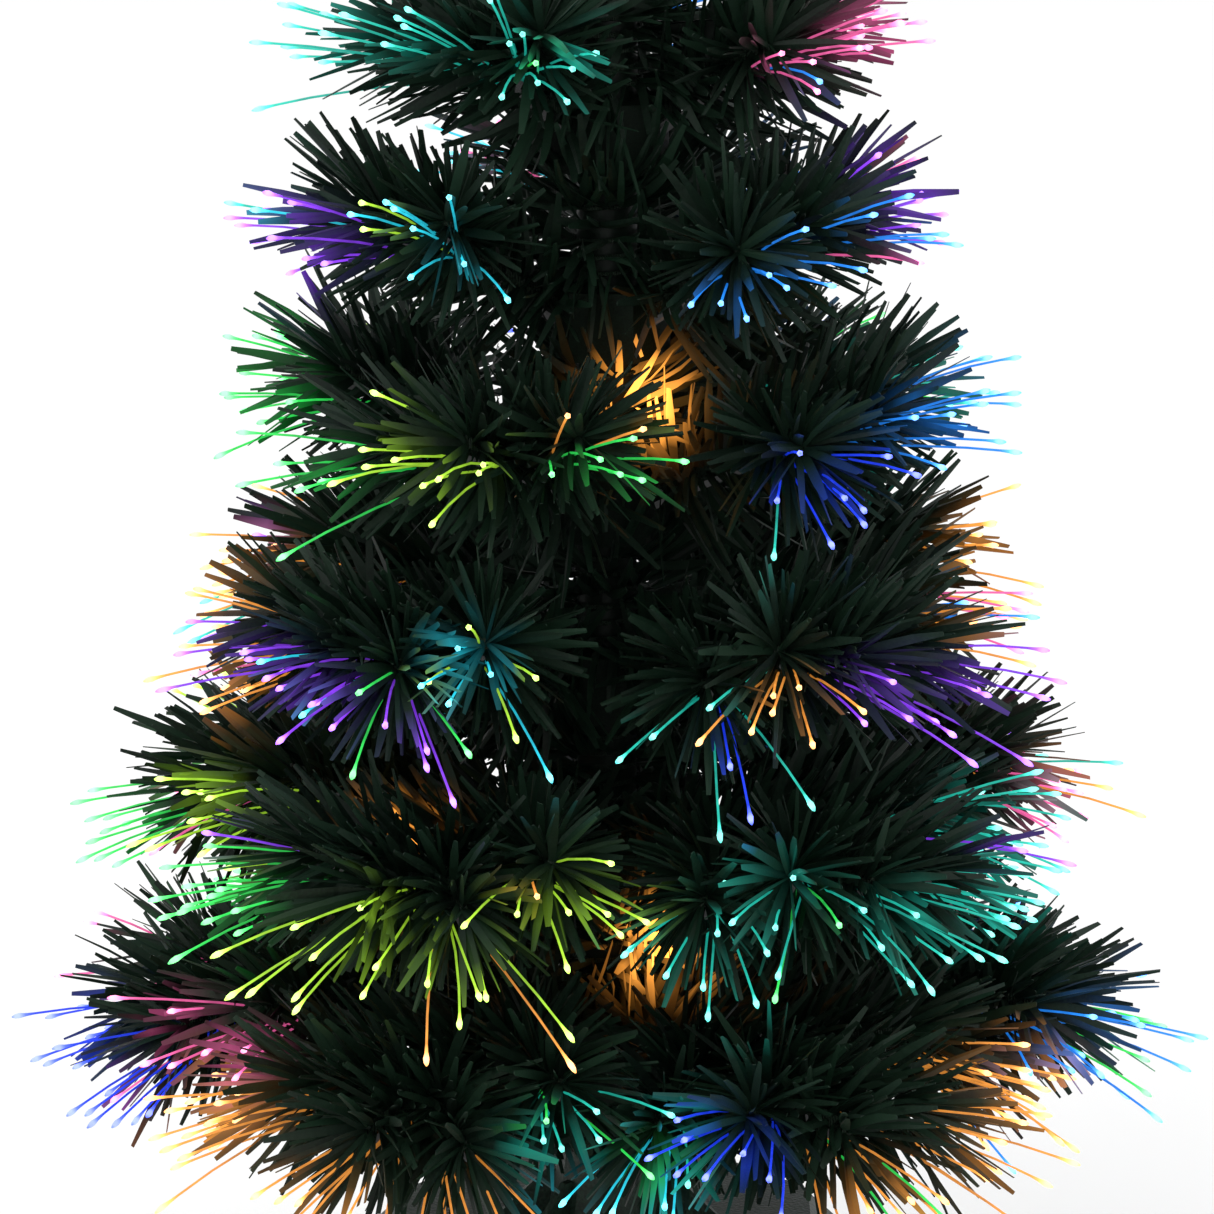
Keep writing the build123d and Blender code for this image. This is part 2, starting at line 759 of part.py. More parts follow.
def pole_gaps():
    """The bare stretches of the pole: over the base, between the collars and under the top."""
    tiers = range(last_tier + 1)
    lows = [collar_top_z] + [tier_z(tier) + tier_collar_above for tier in tiers]
    highs = [tier_z(tier) - tier_collar_below for tier in tiers] + [pole_top_z]
    return [(low + garland_end_gap, high - garland_end_gap) for low, high in zip(lows, highs)]


def garland_lines(low, high, room):
    """Needles that stand out from the pole between two levels, where there is room."""
    half = needle_width / 2
    rise = math.radians(garland_rise_angle)
    under_collar = (tier_collar_radius - pole_radius) * math.tan(rise)
    found = []
    for attempt in range(needle_try_count):
        step = attempt * next_needle_share % 1.0
        turn = math.radians(needle_spread_angle * attempt)
        flat = Vector(math.cos(turn), math.sin(turn), 0)
        lean = flat * math.cos(rise) + Vector(0, 0, math.sin(rise))
        level = low + half + (high - low - needle_width - under_collar) * step
        root = Vector(0, 0, level) + flat * (pole_radius + garland_wall / 2)
        tip = root + lean * garland_needle_length
        if room.free(root, tip, half, but=pole_owner):
            room.take(root, tip, half)
            found.append((root, tip, Vector(0, 0, 1).cross(flat)))
        if len(found) == garland_needle_count:
            break
    return found


# Solids of the branches


def rod(points, radius, sides, side):
    """A thin rod of flat faces along points, with one face square to its upward side."""
    section = Plane(origin=points[0], x_dir=side, z_dir=points[1] - points[0])
    flat = section * RegularPolygon(radius, sides, rotation=90.0 + 180.0 / sides)
    if len(points) == 2:
        return extrude(flat, (points[1] - points[0]).length)
    return sweep(flat, path=Polyline(*points), transition=Transition.RIGHT)


def needle(root, tip, flat_side):
    """A narrow folded strip of film."""
    half, thick = needle_width / 2, needle_thickness / 2
    plane = Plane(origin=root, x_dir=flat_side, z_dir=tip - root)
    section = Polygon((-half, -thick), (half, -thick), (0, thick), align=None)
    return extrude(plane * section, (tip - root).length)


def branch_solid(branch, needles):
    """Stem, twigs and needles, twisted together as one piece."""
    stem = rod(branch.points, stem_radius, stem_sides, branch.side)
    twigs = [rod([a, b], twig_radius, twig_sides, over.cross(b - a).normalized())
             for a, b, over in branch.twigs]
    return stem.fuse(*twigs, *[needle(*line) for line in needles])


def fibre_solid(branch):
    """The cord under the main stem, and the fibres that leave it at the forks and the tip."""
    cord = rod(branch.cord, cord_radius, cord_sides, branch.side)
    loose = [rod([a, b], fibre_radius, fibre_sides, branch.up.cross(b - a).normalized())
             for a, b in branch.fibres]
    return cord.fuse(*loose)


def garland_sleeve(low, high, needles):
    """The sleeve of one bare stretch of the pole, with its needles."""
    bore, outline = [RegularPolygon(radius, garland_sides, major_radius=False)
                     for radius in (pole_radius + press_gap, pole_radius + garland_wall)]
    return raised(outline - bore, low, high - low).fuse(*[needle(*line) for line in needles])


# Pole, collars and main bundle


def cord_window(branch):
    """The slanting square hole for a cord, through the pole and its collar."""
    start = branch.cord[0]
    end = start + branch.ahead * (2 * tier_collar_radius)
    return rod([start, end], cord_radius + soft_gap, cord_sides, branch.side)


def trunk_tube(branches):
    """The steel pole, with a hole for every cord."""
    tube = post(0, 0, pole_z, pole_top_z, pole_radius)
    bore = post(0, 0, pole_z - overrun, pole_top_z + overrun, pole_inner_radius)
    return tube.cut(bore, *[cord_window(branch) for branch in branches])


def tier_collar(tier, branches):
    """The moulded ring of one tier, flat sided in and out, with a stem socket and a cord hole a branch."""
    sides = 2 * len(branches)
    outline, bore = [RegularPolygon(radius, sides, major_radius=False,
                                    rotation=branches[0].azimuth + 180.0 / sides)
                     for radius in (tier_collar_radius, pole_radius + press_gap)]
    ring = raised(outline - bore, tier_z(tier) - tier_collar_below,
                  tier_collar_below + tier_collar_above)
    sockets = [rod([branch.root - branch.ahead * press_gap, branch.root + branch.ahead
                    * tier_collar_radius], stem_radius + press_gap, stem_sides, branch.side)
               for branch in branches]
    return ring.cut(*sockets, *[cord_window(branch) for branch in branches])


def main_bundle():
    """All the fibres together, thinning as the branches take theirs."""
    height = bundle_top_z - ferrule_z
    lean = math.degrees(math.atan((bundle_radius - bundle_top_radius) / height))
    return raised(RegularPolygon(bundle_radius, bundle_sides), ferrule_z, height, lean)


def fibre_ferrule():
    """The metal sleeve that gathers the fibres over the wheel."""
    outer = RegularPolygon(ferrule_radius, bundle_sides)
    inner = RegularPolygon(ferrule_radius - ferrule_wall, bundle_sides)
    return raised(outer - inner, ferrule_z, ferrule_length)


def top_tip(top, needles):
    """The plug that closes the pole, with the upright stem and its needles."""
    plug = raised(RegularPolygon(pole_inner_radius - press_gap, plug_sides),
                  pole_top_z - top_plug_length, top_plug_length)
    flange = raised(RegularPolygon(pole_radius, plug_sides), pole_top_z, top_plug_flange)
    hole = rod(top.cord, cord_radius + soft_gap, cord_sides, top.side)
    return plug.fuse(flange).cut(hole).fuse(branch_solid(top, needles))


def tree_nodes():
    """The pole and everything on it, by name."""
    tiers = [[Branch(tier, number) for number in range(count)]
             for tier, count in enumerate(tier_counts)]
    branches = [branch for group in tiers for branch in group]
    top = TopTip()
    room = Room()
    room.take((0, 0, 0), (0, 0, pole_top_z), tier_collar_radius, pole_owner)
    for branch in (*branches, top):
        for line in branch.stem_lines():
            room.take(*line, id(branch))
        for line in branch.fibre_lines():
            room.take(*line)
    nodes = {"trunk_tube": trunk_tube(branches), "main_bundle": main_bundle(),
             "fibre_ferrule": fibre_ferrule(),
             "tier_collars": [tier_collar(tier, group) for tier, group in enumerate(tiers)]}
    for tier, group in enumerate(tiers):
        for number, branch in enumerate(group):
            name = f"branch_tier_{tier + 1}_{number + 1}"
            nodes[name] = branch_solid(branch, needle_lines(branch, room))
        nodes[f"fibres_tier_{tier + 1}"] = [fibre_solid(branch) for branch in group]
    nodes["top_tip"] = top_tip(top, needle_lines(top, room))
    nodes["fibres_top"] = fibre_solid(top)
    nodes["pole_garland"] = [garland_sleeve(low, high, garland_lines(low, high, room))
                             for low, high in pole_gaps()]
    return nodes


def base_nodes():
    """The lamp housing and everything in it, by name."""
    nodes = {
        "base_housing": base_housing(),
        "bottom_plate": bottom_plate(),
        "rubber_feet": rubber_feet(),
        "lamp_bracket": lamp_bracket(),
        "lamp_socket": lamp_socket(),
        "halogen_lamp": halogen_lamp(),
        "wheel_frame": wheel_frame(),
        "motor_can": motor_can(),
        "motor_shaft": motor_shaft(),
        "dc_inlet": dc_inlet(),
        "switch_frame": switch_frame(),
        "switch_rocker": switch_rocker(),
    }
    return {**nodes, **gel_sectors()}


def main():
    os.makedirs("parts", exist_ok=True)
    for name, shape in {**base_nodes(), **tree_nodes()}.items():
        pieces = shape if isinstance(shape, list) else [shape]
        solids = [solid for piece in pieces for solid in piece.solids()]
        whole = solids[0] if len(solids) == 1 else Compound(children=solids)
        export_step(whole, f"parts/{name}.step")


main()
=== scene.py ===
import math

import bpy
import numpy as np
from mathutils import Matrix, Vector


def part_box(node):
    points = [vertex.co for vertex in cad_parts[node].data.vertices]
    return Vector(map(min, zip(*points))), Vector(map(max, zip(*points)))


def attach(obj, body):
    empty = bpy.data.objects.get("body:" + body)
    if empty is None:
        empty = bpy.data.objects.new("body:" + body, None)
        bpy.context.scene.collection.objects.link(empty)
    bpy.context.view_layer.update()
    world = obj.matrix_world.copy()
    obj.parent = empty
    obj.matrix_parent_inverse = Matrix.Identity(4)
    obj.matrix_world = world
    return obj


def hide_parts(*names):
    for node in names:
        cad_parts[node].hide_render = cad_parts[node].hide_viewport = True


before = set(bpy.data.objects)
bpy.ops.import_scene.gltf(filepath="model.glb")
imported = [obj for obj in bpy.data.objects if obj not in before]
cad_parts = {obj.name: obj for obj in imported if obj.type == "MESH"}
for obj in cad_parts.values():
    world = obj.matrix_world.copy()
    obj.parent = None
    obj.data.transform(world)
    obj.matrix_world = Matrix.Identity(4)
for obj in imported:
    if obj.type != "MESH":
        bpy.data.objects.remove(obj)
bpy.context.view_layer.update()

# Camera: the photograph's close view of the middle of the tree, from a little above. Metres.
view_centre = Vector((0.0, 0.0, 0.290))
view_width = 0.368
view_distance = 1.6
view_elevation = 15.0
film_width = 36.0


def turned_to(target, place):
    """The rotation that points a camera or a lamp at a target."""
    return (target - place).to_track_quat("-Z", "Y")


def place_camera():
    """A camera at the photograph's viewing angle."""
    data = bpy.data.cameras.new("camera")
    data.sensor_width = film_width
    data.lens = film_width * view_distance / view_width
    camera = bpy.data.objects.new("camera", data)
    rise = math.radians(view_elevation)
    camera.location = view_centre + Vector((0.0, -math.cos(rise), math.sin(rise))) * view_distance
    camera.rotation_mode = "QUATERNION"
    camera.rotation_quaternion = turned_to(view_centre, camera.location)
    bpy.context.scene.collection.objects.link(camera)
    bpy.context.scene.camera = camera


place_camera()

# Pole, collars and tiers, from the frame
pole_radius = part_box("trunk_tube")[1].x
pole_top_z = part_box("trunk_tube")[1].z
base_foot_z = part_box("base_housing")[0].z
base_collar_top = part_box("base_housing")[1].z
collar_above = 0.008
collar_below = 0.013
first_tier_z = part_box("tier_collars")[0].z + collar_below
last_tier_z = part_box("tier_collars")[1].z - collar_above
fork_shares = ((0.40, 0.72), (0.40, 0.72), (0.40, 0.72), (0.52,), (0.52,), (0.52,))
last_tier = len(fork_shares) - 1
tier_rise = (last_tier_z - first_tier_z) / last_tier

# Branches and top stem, as in the part: metres and degrees
socket_web = 0.0015
longest_branch = 0.128
shortest_branch = 0.055
lowest_pitch = 8.0
highest_pitch = 38.0
tier_turn = 21.0
fork_droop = 5.0
twig_yaw = 46.0
twig_skew = 6.0
twig_least = 0.020
twig_share = 0.55
twig_arch_share = 0.03
stem_radius = 0.0022
twig_radius = 0.0017
stem_steps = 5
twig_steps = 4
stem_sides = 8
top_stem_length = 0.058
flange_height = 0.002
flange_rim_share = 0.6
flange_dome_share = 1.2
flange_slope_share = 0.9
flange_sides = 32
plug_radius = 0.0078
plug_depth = 0.0115

# Cut film needles. Ring shares run from root to tip, and a spread is a standard deviation.
needles_per_metre = 3300
needle_length = 0.033
needle_length_shares = (0.72, 1.08)
needle_width = 0.0029
needle_width_shares = (0.75, 1.1)
needle_fold = 0.0005
needle_ring_shares = np.array((0.0, 0.35, 0.7, 1.0))
needle_ring_widths = np.array((0.6, 1.0, 0.95, 0.5))
needle_corners = 3
plain_shade = 0.5
stem_bare = 0.006
root_reach = 0.030
root_lean = 84.0
root_growth = 0.22
needle_lean = 57.0
lean_spread = 8.0
end_reach = 0.018
end_lean = 34.0
upright_least = 0.9
golden_turn = 137.5
turn_spread = 14.0
least_outward = 0.06
curl_ahead_share = 0.10
curl_spread_share = 0.06
curl_out_share = 0.05
needle_sag_share = 0.05

# Garland of the same film, wound on the bare stretches of the pole
garland_wire_radius = 0.0007
garland_wire_gap = 0.0008
garland_radius = pole_radius + garland_wire_gap + garland_wire_radius
garland_wire_sides = 6
garland_pitch = 0.005
garland_steps_a_turn = 16
garland_end_gap = 0.001
garland_needles_per_metre = 7000
garland_length = 0.027
garland_length_shares = (0.7, 1.1)
garland_swing = 28.0
garland_rise = 10.0
garland_end_rise = 16.0
garland_curl_share = 0.7
garland_bend_share = 0.08

# Fibres and the cords that carry them under the stems
cord_radius = 0.0012
twig_cord_share = 0.7
cord_drop = 0.0044
cord_sides = 6
fibre_radius = 0.000375
fibre_sides = 5
least_side = 1e-6
fibre_back = 0.026
fibre_beyond = 0.050
fibre_beyond_shares = (0.4, 1.0)
fibres_least = 6
fibres_most = 11
fibre_fan = 23.0
fan_spread_share = 0.15
fibre_lift = -2.0
lift_spread = 8.0
fibre_root_spread = 0.0006
fibre_droop_share = 0.20
droop_spread_shares = (0.5, 1.1)
curve_spread_share = 0.05
# Along a fibre: place, thickness beside its own radius, light, and white in its end drop
fibre_ring_shares = np.array((0.0, 0.25, 0.5, 0.75, 0.9, 0.94, 0.966, 0.986, 1.0))
fibre_ring_widths = np.array((1.0, 1.0, 1.0, 1.0, 1.0, 1.5, 2.5, 2.0, 0.6))
fibre_ring_lights = np.array((0.06, 0.12, 0.20, 0.28, 0.42, 0.8, 1.0, 1.0, 1.0))
fibre_ring_whites = np.array((0.0, 0.0, 0.0, 0.0, 0.0, 0.04, 0.16, 0.16, 0.05))
cord_light = 0.01
own_light_share = 0.8
near_light_spread = 0.039

# Painted light that the fibre ends throw on the needles, as glow in the needles' emission
glow_reach = 0.008
glow_end_share = 3
glow_strength = 0.4
# Painted warm glow deep between the needles, where the photograph shows it, from points that are no
# fibre ends
painted_warm_glow_places = ((0.012, -0.024, 0.361), (-0.060, -0.045, 0.224), (0.018, -0.026, 0.192))
painted_warm_glow_spread = 0.004
painted_warm_glow_count = 26

lights = {
    "blue": (0.010, 0.05, 1.0), "azure": (0.015, 0.26, 1.0), "cyan": (0.02, 0.66, 0.85),
    "teal": (0.015, 0.55, 0.42), "green": (0.03, 0.75, 0.10), "lime": (0.45, 0.85, 0.04),
    "amber": (1.0, 0.36, 0.05), "pink": (1.0, 0.14, 0.42), "violet": (0.28, 0.05, 1.0),
}
# Sprays that the photograph shows: light, distance to the right of the pole, and height
upper_sprays = (
    ("violet", -0.072, 0.425), ("cyan", -0.042, 0.420), ("blue", 0.004, 0.416),
    ("azure", 0.038, 0.400), ("violet", 0.078, 0.424), ("pink", 0.102, 0.436),
    ("lime", -0.084, 0.394), ("green", -0.102, 0.372), ("lime", -0.034, 0.360),
    ("green", -0.006, 0.340), ("teal", 0.036, 0.352), ("blue", 0.044, 0.328),
    ("teal", 0.096, 0.376), ("azure", 0.108, 0.350), ("green", -0.086, 0.344),
    ("pink", -0.104, 0.334), ("amber", -0.092, 0.310), ("amber", -0.050, 0.298),
    ("teal", -0.024, 0.304), ("cyan", 0.002, 0.300), ("amber", 0.076, 0.300),
)
# The photograph repeats them lower down, a little to the right, with four more
repeat_right = 0.007
repeat_down = 0.164
extra_sprays = (("blue", 0.0, 0.276), ("teal", -0.045, 0.222), ("blue", 0.034, 0.164),
                ("pink", 0.060, 0.166))
lower_sprays = tuple((light, right + repeat_right, height - repeat_down)
                     for light, right, height in upper_sprays)
# Above and below the photograph's edges the same lights go on
outer_sprays = (
    ("teal", -0.040, 0.468), ("pink", 0.050, 0.472), ("azure", 0.0, 0.500), ("green", -0.012, 0.540),
    ("violet", 0.012, 0.560), ("blue", -0.150, 0.150), ("violet", -0.100, 0.112),
    ("teal", -0.030, 0.108), ("azure", 0.066, 0.112), ("green", 0.130, 0.128),
)
all_sprays = upper_sprays + lower_sprays + extra_sprays + outer_sprays

random_seed = 12
rng = np.random.default_rng(random_seed)

# Shared effects


def rgb(red, green, blue):
    """A solid colour as a socket takes it."""
    return (red, green, blue, 1.0)


def new_group(name, takes, gives):
    """An empty node group with named inputs and outputs."""
    group = bpy.data.node_groups.new(name, "ShaderNodeTree")
    for label, kind, value in takes:
        socket = group.interface.new_socket(name=label, in_out="INPUT", socket_type=kind)
        socket.default_value = value
    for label, kind in gives:
        group.interface.new_socket(name=label, in_out="OUTPUT", socket_type=kind)
    return group, group.nodes.new("NodeGroupInput"), group.nodes.new("NodeGroupOutput")


def feed(tree, socket, value):
    """A link or a plain value into a socket."""
    if isinstance(value, bpy.types.NodeSocket):
        tree.links.new(value, socket)
    else:
        socket.default_value = value


def add(tree, kind, **settings):
    """A node with its settings and, for settings named after sockets, their values or links."""
    node = tree.nodes.new(kind)
    for key, value in settings.items():
        if hasattr(node, key):
            setattr(node, key, value)
        else:
            feed(tree, node.inputs[key.replace("_", " ")], value)
    return node


def noise(tree, scale, detail):
    """A noise value in the object's own space."""
    place = add(tree, "ShaderNodeTexCoord").outputs["Object"]
    return add(tree, "ShaderNodeTexNoise", Vector=place, Scale=scale, Detail=detail).outputs["Fac"]


def blended(tree, share, first, second):
    """A mix of two colours or links."""
    mix = tree.nodes.new("ShaderNodeMix")
    mix.data_type = "RGBA"
    for index, value in ((0, share), (6, first), (7, second)):
        feed(tree, mix.inputs[index], value)
    return mix.outputs[2]


def multiplied(tree, first, second):
    """The product of two values."""
    node = add(tree, "ShaderNodeMath", operation="MULTIPLY")
    feed(tree, node.inputs[0], first)
    feed(tree, node.inputs[1], second)
    return node.outputs[0]


def larger(tree, first, second):
    """The larger of two values."""
    node = add(tree, "ShaderNodeMath", operation="MAXIMUM")
    feed(tree, node.inputs[0], first)
    feed(tree, node.inputs[1], second)
    return node.outputs[0]


def ranged(tree, value, low, high, from_low=0.0, from_high=1.0):
    """A value moved from one range to another."""
    node = add(tree, "ShaderNodeMapRange", Value=value, From_Min=from_low, From_Max=from_high,
               To_Min=low, To_Max=high)
    return node.outputs["Result"]


surface_outputs = (("Colour", "NodeSocketColor"), ("Roughness", "NodeSocketFloat"),
                   ("Height", "NodeSocketFloat"))


def moulded_grain():
    """The fine spark texture of moulded plastic: painted shade darkening its pits, cloudy shade and
    rubbed patches.
    """
    group, inside, outside = new_group(
        "moulded grain",
        (("Colour", "NodeSocketColor", rgb(0.1, 0.1, 0.1)),
         ("Rub colour", "NodeSocketColor", rgb(0.2, 0.2, 0.2)),
         ("Grain size", "NodeSocketFloat", 1800.0),
         ("Roughness", "NodeSocketFloat", 0.5),
         ("Painted pit shade", "NodeSocketFloat", 0.5)),
        surface_outputs)
    grain = noise(group, inside.outputs["Grain size"], 3.0)
    cloud = noise(group, 22.0, 4.0)
    rub = ranged(group, cloud, 0.0, 0.8, 0.50, 0.72)
    colour = blended(group, rub, inside.outputs["Colour"], inside.outputs["Rub colour"])
    # Painted shade: the low pits of the grain's bump are darkened towards black
    pit = multiplied(group, inside.outputs["Painted pit shade"], ranged(group, grain, 1.0, 0.0, 0.40, 0.58))
    colour = blended(group, pit, colour, rgb(0.0, 0.0, 0.0))
    rough = multiplied(group, inside.outputs["Roughness"], ranged(group, cloud, 0.85, 1.2))
    for label, value in (("Colour", colour), ("Roughness", rough), ("Height", grain)):
        group.links.new(value, outside.inputs[label])
    return group


def drawn_metal():
    """Fine lines round a drawn or rolled metal piece, with dull patches."""
    group, inside, outside = new_group(
        "drawn metal",
        (("Colour", "NodeSocketColor", rgb(0.6, 0.6, 0.6)),
         ("Rub colour", "NodeSocketColor", rgb(0.4, 0.4, 0.4)),
         ("Roughness", "NodeSocketFloat", 0.35)),
        surface_outputs)
    place = add(group, "ShaderNodeTexCoord").outputs["Object"]
    squeezed = add(group, "ShaderNodeMapping", Vector=place, Scale=(1.0, 1.0, 30.0)).outputs[0]
    lines = add(group, "ShaderNodeTexNoise", Vector=squeezed, Scale=260.0, Detail=2.0).outputs["Fac"]
    patches = noise(group, 60.0, 5.0)
    dull = ranged(group, patches, 0.0, 1.0, 0.5, 0.75)
    colour = blended(group, dull, inside.outputs["Colour"], inside.outputs["Rub colour"])
    rough = multiplied(group, inside.outputs["Roughness"], ranged(group, patches, 0.8, 1.4))
    for label, value in (("Colour", colour), ("Roughness", rough), ("Height", lines)):
        group.links.new(value, outside.inputs[label])
    return group


def rub_band():
    """Fine rubbed specks that thin out from one height to another."""
    group, inside, outside = new_group(
        "rub band",
        (("Colour", "NodeSocketColor", rgb(0.1, 0.1, 0.1)),
         ("Rub colour", "NodeSocketColor", rgb(0.3, 0.3, 0.3)),
         ("Band start", "NodeSocketFloat", 0.0),
         ("Band end", "NodeSocketFloat", 0.01)),
        (("Colour", "NodeSocketColor"),))
    place = add(group, "ShaderNodeTexCoord").outputs["Object"]
    height = add(group, "ShaderNodeSeparateXYZ", Vector=place).outputs["Z"]
    near = ranged(group, height, 1.0, 0.0, inside.outputs["Band start"], inside.outputs["Band end"])
    speck = ranged(group, noise(group, 420.0, 7.0), 0.0, 1.0, 0.55, 0.72)
    mask = multiplied(group, near, speck)
    colour = blended(group, mask, inside.outputs["Colour"], inside.outputs["Rub colour"])
    group.links.new(colour, outside.inputs["Colour"])
    return group


grain_group = moulded_grain()
metal_group = drawn_metal()
band_group = rub_band()

# Materials


def new_finish(name):
    """A material with one Principled shader."""
    finish = bpy.data.materials.new(name)
    finish.use_nodes = True
    tree = finish.node_tree
    tree.nodes.clear()
    shader = tree.nodes.new("ShaderNodeBsdfPrincipled")
    output = tree.nodes.new("ShaderNodeOutputMaterial")
    tree.links.new(shader.outputs["BSDF"], output.inputs["Surface"])
    return finish, tree, shader


def unsampled(finish):
    """Glow that lights nothing by itself, because the needles carry its cast light as painted light."""
    if hasattr(finish, "cycles"):
        finish.cycles.emission_sampling = "NONE"
    return finish


def surface(tree, shader, colour, rough, height, depth):
    """Colour, roughness and bump into the shader."""
    tree.links.new(colour, shader.inputs["Base Color"])
    tree.links.new(rough, shader.inputs["Roughness"])
    bump = add(tree, "ShaderNodeBump", Strength=0.5, Height=height, Distance=depth)
    tree.links.new(bump.outputs["Normal"], shader.inputs["Normal"])


def placed(tree, effect, values):
    """The outputs of a shared effect with a material's own values and links."""
    group = add(tree, "ShaderNodeGroup", node_tree=effect)
    for label, value in values.items():
        feed(tree, group.inputs[label], value)
    return group.outputs


def moulded(name, colour, rub_colour, grain_size, roughness, depth, painted_pit_shade=0.5, gloss=0.3,
            bands=()):
    """Moulded plastic in one colour, with painted shade in its grain pits, rubbed in some bands of
    height.
    """
    finish, tree, shader = new_finish(name)
    shader.inputs["Specular IOR Level"].default_value = gloss
    grain = placed(tree, grain_group, {
        "Colour": colour, "Rub colour": rub_colour, "Grain size": grain_size,
        "Roughness": roughness, "Painted pit shade": painted_pit_shade})
    shown = grain["Colour"]
    for start, end, band_colour in bands:
        shown = placed(tree, band_group, {
            "Colour": shown, "Rub colour": band_colour, "Band start": start,
            "Band end": end})["Colour"]
    surface(tree, shader, shown, grain["Roughness"], grain["Height"], depth)
    return finish


def metal(name, colour, rub_colour, roughness, depth):
    """Plated or bare metal."""
    finish, tree, shader = new_finish(name)
    shader.inputs["Metallic"].default_value = 1.0
    lines = placed(tree, metal_group, {
        "Colour": colour, "Rub colour": rub_colour, "Roughness": roughness})
    surface(tree, shader, lines["Colour"], lines["Roughness"], lines["Height"], depth)
    return finish


def filter_film(name, red, green, blue):
    """Thin coloured film that the lamp shines through, darker in cloudy patches."""
    finish, tree, shader = new_finish(name)
    cloud = noise(tree, 70.0, 3.0)
    tint = blended(tree, ranged(tree, cloud, 0.0, 1.0, 0.4, 0.7), rgb(red, green, blue),
                   rgb(0.6 * red, 0.6 * green, 0.6 * blue))
    tree.links.new(tint, shader.inputs["Base Color"])
    tree.links.new(ranged(tree, cloud, 0.12, 0.25), shader.inputs["Roughness"])
    shader.inputs["Transmission Weight"].default_value = 0.7
    return finish


def needle_film():
    """Dark green cut film: a shade of its own for each needle, and painted light from near fibres and
    warm glow points as its glow.
    """
    finish, tree, shader = new_finish("needle_film")
    shade = add(tree, "ShaderNodeAttribute", attribute_name="shade").outputs["Fac"]
    cast = add(tree, "ShaderNodeAttribute", attribute_name="cast_light").outputs["Color"]
    fleck = noise(tree, 900.0, 2.0)
    green = blended(tree, shade, rgb(0.0022, 0.0065, 0.0038), rgb(0.0075, 0.024, 0.0125))
    green = blended(tree, ranged(tree, fleck, 0.0, 0.5, 0.45, 0.8), green,
                    rgb(0.011, 0.030, 0.016))
    surface(tree, shader, green, ranged(tree, fleck, 0.42, 0.62), fleck, 0.0002)
    shader.inputs["Specular IOR Level"].default_value = 0.22
    # Painted light from near fibre ends and warm glow points, as the needles' glow
    tree.links.new(cast, shader.inputs["Emission Color"])
    shader.inputs["Emission Strength"].default_value = 1.0
    return unsampled(finish)


def stem_wire():
    """Twisted wire under green film."""
    finish, tree, shader = new_finish("stem_wire")
    place = add(tree, "ShaderNodeTexCoord").outputs["Object"]
    twist = add(tree, "ShaderNodeTexWave", Vector=place, Scale=420.0, Distortion=3.0,
                Detail=2.0).outputs["Fac"]
    green = blended(tree, twist, rgb(0.004, 0.010, 0.006), rgb(0.014, 0.028, 0.016))
    surface(tree, shader, green, ranged(tree, twist, 0.5, 0.8), twist, 0.0006)
    shader.inputs["Specular IOR Level"].default_value = 0.25
    return finish


def fibre_light():
    """Clear fibre that carries its light to the end, with half of that light painted into its base
    colour.
    """
    finish, tree, shader = new_finish("fibre_light")
    light = add(tree, "ShaderNodeAttribute", attribute_name="light").outputs["Color"]
    cloud = noise(tree, 160.0, 2.0)
    # Painted glow: half the fibre's own light colour is put into its base colour
    body = blended(tree, 0.5, rgb(0.035, 0.040, 0.045), light)
    tree.links.new(body, shader.inputs["Base Color"])
    tree.links.new(ranged(tree, cloud, 0.15, 0.35), shader.inputs["Roughness"])
    uneven = add(tree, "ShaderNodeVectorMath", operation="SCALE")
    feed(tree, uneven.inputs[0], light)
    feed(tree, uneven.inputs["Scale"], ranged(tree, cloud, 0.7, 1.0, 0.35, 0.6))
    tree.links.new(uneven.outputs[0], shader.inputs["Emission Color"])
    shader.inputs["Specular IOR Level"].default_value = 0.2
    shader.inputs["Emission Strength"].default_value = 3.0
    return unsampled(finish)


def lamp_glass():
    """The faceted reflector with its lit capsule."""
    finish, tree, shader = new_finish("lamp_glass")
    cloud = noise(tree, 90.0, 3.0)
    tint = blended(tree, cloud, rgb(0.75, 0.74, 0.70), rgb(0.90, 0.88, 0.82))
    surface(tree, shader, tint, ranged(tree, cloud, 0.08, 0.2), cloud, 0.0003)
    shader.inputs["Metallic"].default_value = 0.6
    shader.inputs["Emission Color"].default_value = rgb(1.0, 0.72, 0.40)
    shader.inputs["Emission Strength"].default_value = 0.8
    return finish


def socket_ceramic():
    """The unglazed block of the lamp socket."""
    finish, tree, shader = new_finish("socket_ceramic")
    speck = noise(tree, 700.0, 4.0)
    tint = blended(tree, ranged(tree, speck, 0.0, 1.0, 0.45, 0.75), rgb(0.80, 0.77, 0.70),
                   rgb(0.60, 0.56, 0.48))
    surface(tree, shader, tint, ranged(tree, speck, 0.6, 0.85), speck, 0.0003)
    return finish


